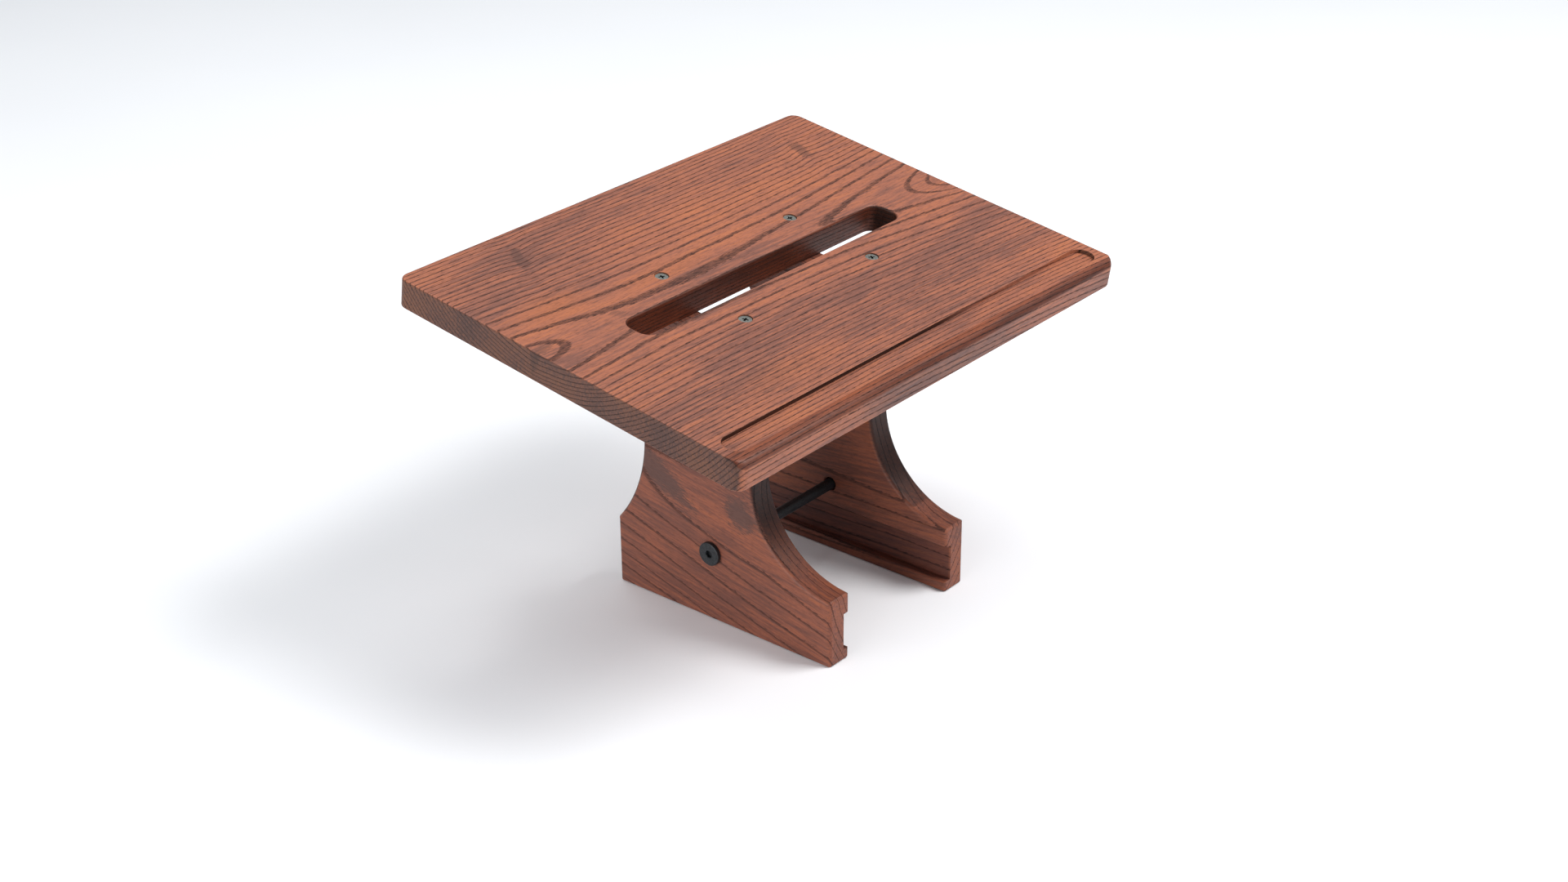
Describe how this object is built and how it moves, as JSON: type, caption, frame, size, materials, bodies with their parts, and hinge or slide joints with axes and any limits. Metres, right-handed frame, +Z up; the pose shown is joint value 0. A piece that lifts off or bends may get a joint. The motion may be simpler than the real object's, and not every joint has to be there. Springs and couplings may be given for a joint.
{
  "type": "slant-top desk stand",
  "caption": "Sloping slotted wooden board with a pen groove on two waisted legs tied by a steel rod; rail channels inside the feet.",
  "frame": {"origin": "on the floor, below the middle of the whole stand's outline seen from above", "axes": "+X to the right along the board's long side, +Y towards the high back edge, +Z up; the low front edge faces -Y"},
  "size_m": [0.4, 0.2887, 0.2544],
  "materials": {
    "brown_ash": "brown-stained open-pore ash, oiled, satin",
    "black_steel": "black oxide, matte",
    "zinc_steel": "grey zinc plate, satin"
  },
  "bodies": {
    "root": {"top_board": "brown_ash", "left_leg": "brown_ash", "right_leg": "brown_ash", "tie_rod": "black_steel", "tie_bolt_left": "black_steel", "tie_bolt_right": "black_steel", "board_screw_front_left": "zinc_steel", "board_screw_back_left": "zinc_steel", "board_screw_front_right": "zinc_steel", "board_screw_back_right": "zinc_steel"}
  },
  "joints": []
}
